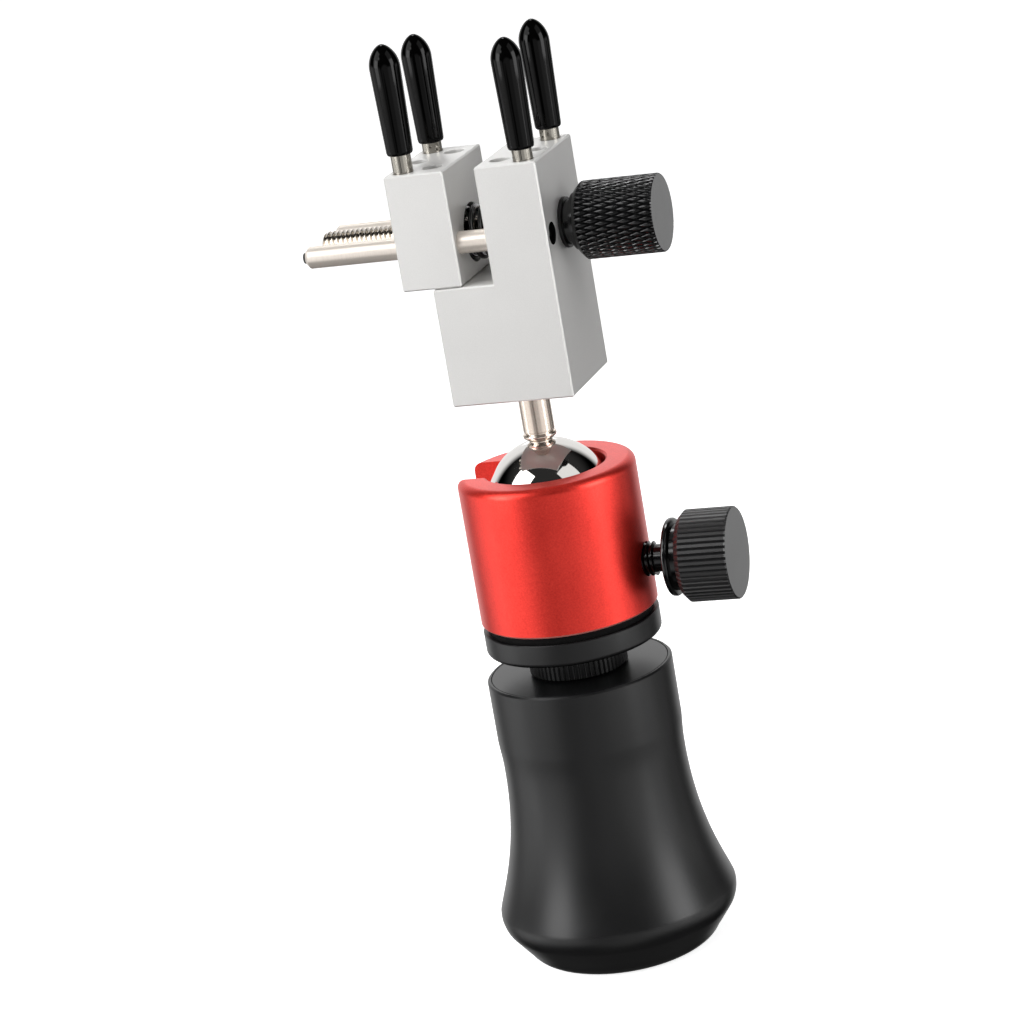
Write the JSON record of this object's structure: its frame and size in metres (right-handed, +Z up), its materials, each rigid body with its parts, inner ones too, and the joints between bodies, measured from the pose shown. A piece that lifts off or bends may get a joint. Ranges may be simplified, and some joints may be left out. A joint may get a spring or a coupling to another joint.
{
  "type": "ball vise",
  "caption": "Small bench vise on a lockable ball head: flared handle base, tilting ball, two rod-guided jaws closed by a lead screw, and capped pins standing in the jaws.",
  "frame": {"origin": "centre of the flat underside of the handle", "axes": "+Z up along the handle and the upright ball stem; +X towards the lock knob and the thumb knob; -X the drop notch and the free ends of the guide rods; -Y the front"},
  "size_m": [0.0756, 0.049, 0.1921],
  "materials": {
    "handle_body": "black anodised, satin",
    "handle_cap": "black anodised, turned, semi gloss",
    "foot_pad": "matt rubber",
    "mounting_stud": "zinc plated thread",
    "lock_ring": "black anodised, knurled",
    "base_flange": "black anodised, satin",
    "friction_gasket": "matt",
    "housing": "red anodised, bead blasted satin",
    "ball_seat": "acetal",
    "wave_washer": "spring steel",
    "wedge_pin": "ground",
    "lock_screw": "black oxide",
    "lock_collar": "black anodised",
    "lock_knob": "black anodised, straight knurl",
    "ball": "polished",
    "ball_stem": "nickel plated",
    "fixed_jaw": "clear anodised, bead blasted",
    "moving_jaw": "clear anodised, bead blasted",
    "guide_rods": "ground",
    "lead_screw": "rolled thread",
    "thrust_washer": "black acetal",
    "thumb_knob": "black anodised, diamond knurl",
    "jaw_spring": "black spring wire",
    "fixed_pins": "ground",
    "moving_pins": "ground",
    "fixed_caps": "glossy vinyl",
    "moving_caps": "glossy vinyl"
  },
  "bodies": {
    "handle": {"handle_body": "handle_body", "handle_cap": "handle_cap", "foot_pad": "foot_pad", "mounting_stud": "mounting_stud"},
    "ring": {"lock_ring": "lock_ring"},
    "head_base": {"base_flange": "base_flange", "friction_gasket": "friction_gasket", "housing": "housing", "wave_washer": "wave_washer"},
    "wedge": {"wedge_pin": "wedge_pin"},
    "lock": {"lock_screw": "lock_screw", "lock_collar": "lock_collar", "lock_knob": "lock_knob"},
    "seat": {"ball_seat": "ball_seat"},
    "ball": {"ball": "ball"},
    "vise": {"ball_stem": "ball_stem", "fixed_jaw": "fixed_jaw", "guide_rods": "guide_rods", "jaw_spring": "jaw_spring", "fixed_pins": "fixed_pins", "fixed_caps": "fixed_caps"},
    "screw": {"lead_screw": "lead_screw", "thrust_washer": "thrust_washer", "thumb_knob": "thumb_knob"},
    "jaw": {"moving_jaw": "moving_jaw", "moving_pins": "moving_pins", "moving_caps": "moving_caps"}
  },
  "joints": [
    {"name": "lock_ring_turn", "type": "hinge", "parent": "handle", "child": "ring", "pos_m": [0, 0, 0.0634], "axis": [0, 0, 1], "continuous": true},
    {"name": "head_pan", "type": "hinge", "parent": "handle", "child": "head_base", "pos_m": [0, 0, 0.0685], "axis": [0, 0, 1], "continuous": true},
    {"name": "wedge_feed", "type": "slide", "parent": "head_base", "child": "wedge", "axis": [1, 0, 0], "range_m": [0, 0.0015]},
    {"name": "lock_knob_turn", "type": "hinge", "parent": "wedge", "child": "lock", "pos_m": [0.0308, 0, 0.0821], "axis": [1, 0, 0], "range_deg": [0, 541]},
    {"name": "seat_lift", "type": "slide", "parent": "head_base", "child": "seat", "axis": [0, 0, 1], "range_m": [-0.00041, 0]},
    {"name": "ball_tilt", "type": "hinge", "parent": "head_base", "child": "ball", "pos_m": [0, 0, 0.0959], "axis": [0, 1, 0], "range_deg": [-90, 40]},
    {"name": "head_spin", "type": "hinge", "parent": "ball", "child": "vise", "pos_m": [0, 0, 0.1086], "axis": [0, 0, 1], "continuous": true},
    {"name": "jaw_screw_turn", "type": "hinge", "parent": "vise", "child": "screw", "pos_m": [0.0205, 0, 0.1518], "axis": [1, 0, 0], "range_deg": [-2235, 6123]},
    {"name": "jaw_slide", "type": "slide", "parent": "vise", "child": "jaw", "axis": [1, 0, 0], "range_m": [-0.017, 0.0062], "deforming": ["jaw_spring"]}
  ],
  "couplings": [
    {"joint": "jaw_screw_turn", "follows": "jaw_slide", "rad_per_m": -6283.2},
    {"joint": "lock_knob_turn", "follows": "wedge_feed", "rad_per_m": 6283.2},
    {"joint": "seat_lift", "follows": "wedge_feed", "ratio": -0.26795}
  ]
}
